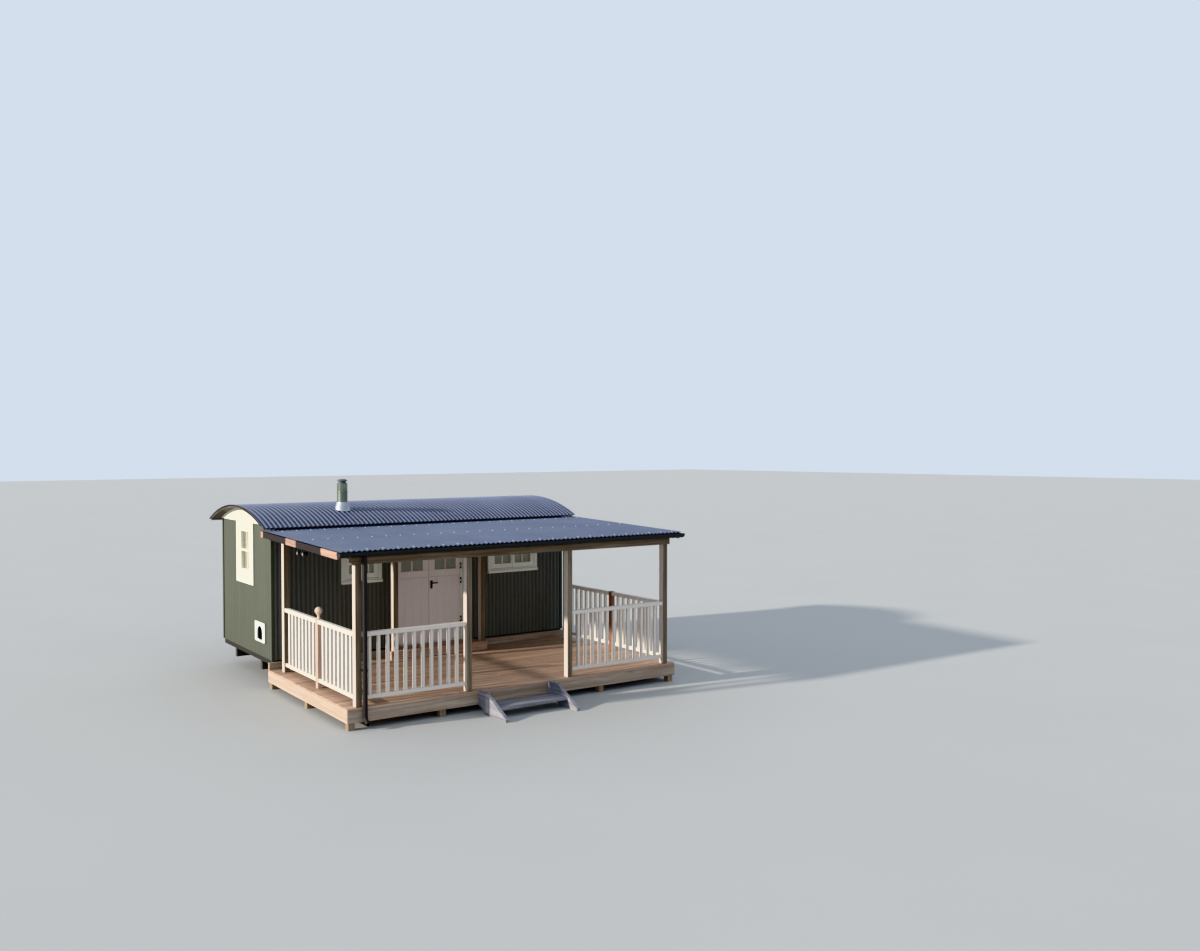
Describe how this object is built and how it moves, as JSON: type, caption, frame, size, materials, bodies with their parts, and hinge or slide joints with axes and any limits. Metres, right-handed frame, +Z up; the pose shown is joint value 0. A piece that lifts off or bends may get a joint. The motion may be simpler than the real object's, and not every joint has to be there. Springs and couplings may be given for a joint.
{
  "type": "shepherds hut with verandah",
  "caption": "Shepherds hut with a bow roof, corrugated walls and glazed doors, beside a timber verandah with a lean-to roof, balustrades, gutter and steps.",
  "frame": {"origin": "on the ground, at the middle of the footprint of the hut, the verandah and the steps", "axes": "+X along the hut to the right as seen from the verandah side, +Y from the verandah to the rear wall, +Z up"},
  "size_m": [5.84, 5.966, 3.147],
  "materials": {
    "green_sheet": "matte dark green paint on corrugated sheet",
    "bow_sheet": "matte slate blue coating on corrugated sheet",
    "verandah_sheet": "matte slate blue coating on corrugated sheet",
    "cream_paint": "cream satin paint on timber",
    "rail_paint": "off-white satin paint on timber",
    "post_timber": "brown stained sawn timber",
    "frame_timber": "plain treated sawn timber",
    "deck_timber": "reddish brown weathered boards",
    "fascia_timber": "tan treated boards",
    "newel_timber": "pinkish unpainted timber",
    "soffit_timber": "brown varnished boards",
    "step_timber": "grey weathered timber",
    "flue_steel": "dull stainless",
    "cowl_metal": "matte black",
    "trim_metal": "plain folded sheet",
    "gutter_plastic": "black",
    "black_metal": "black",
    "chassis_steel": "black paint on rolled steel",
    "wheel_iron": "black painted cast iron",
    "glass": "clear"
  },
  "bodies": {
    "hut": {"hut_floor": "frame_timber", "chassis_rails": "chassis_steel", "axles": "chassis_steel", "wheels": "wheel_iron", "left_end_wall": "green_sheet", "right_end_wall": "green_sheet", "gable_panels": "cream_paint", "front_wall_left": "green_sheet", "front_wall_right": "green_sheet", "front_wall_over_door": "green_sheet", "rear_wall": "green_sheet", "corner_trims": "trim_metal", "bow_roof": "bow_sheet", "end_soffits": "soffit_timber", "flue_flashing": "flue_steel", "flue_pipe": "flue_steel", "flue_cowl": "cowl_metal", "door_frame": "cream_paint", "frame_hinges": "black_metal", "front_windows": "cream_paint", "rear_window": "cream_paint", "end_windows": "cream_paint", "window_glass": "glass", "wall_vent": "cream_paint", "deck_boards": "deck_timber", "deck_joists": "frame_timber", "deck_bearers": "frame_timber", "deck_piers": "frame_timber", "deck_fascia": "fascia_timber", "wall_kerbs": "deck_timber", "door_step": "deck_timber", "front_posts": "post_timber", "rear_posts": "post_timber", "front_beam": "post_timber", "rear_beam": "post_timber", "verandah_rafters": "post_timber", "verandah_purlins": "post_timber", "verandah_roof": "verandah_sheet", "barge_boards": "fascia_timber", "gutter": "gutter_plastic", "downpipe": "gutter_plastic", "front_left_balustrade": "rail_paint", "front_right_balustrade": "rail_paint", "left_balustrade": "rail_paint", "right_balustrade": "rail_paint", "side_newels": "newel_timber", "step_stringers": "step_timber", "step_tread": "step_timber", "porch_light": "black_metal"},
    "left_door": {"left_door_leaf": "cream_paint", "left_door_glass": "glass", "left_door_hinges": "black_metal"},
    "right_door": {"right_door_leaf": "cream_paint", "right_door_glass": "glass", "right_door_hinges": "black_metal", "door_handle": "black_metal"}
  },
  "joints": [
    {"name": "left_door_hinge", "type": "hinge", "parent": "hut", "child": "left_door", "pos_m": [-0.601, 0.5137, 1.35], "axis": [0, 0, -1], "range_deg": [0, 90]},
    {"name": "right_door_hinge", "type": "hinge", "parent": "hut", "child": "right_door", "pos_m": [0.601, 0.5137, 1.35], "axis": [0, 0, 1], "range_deg": [0, 90]}
  ]
}
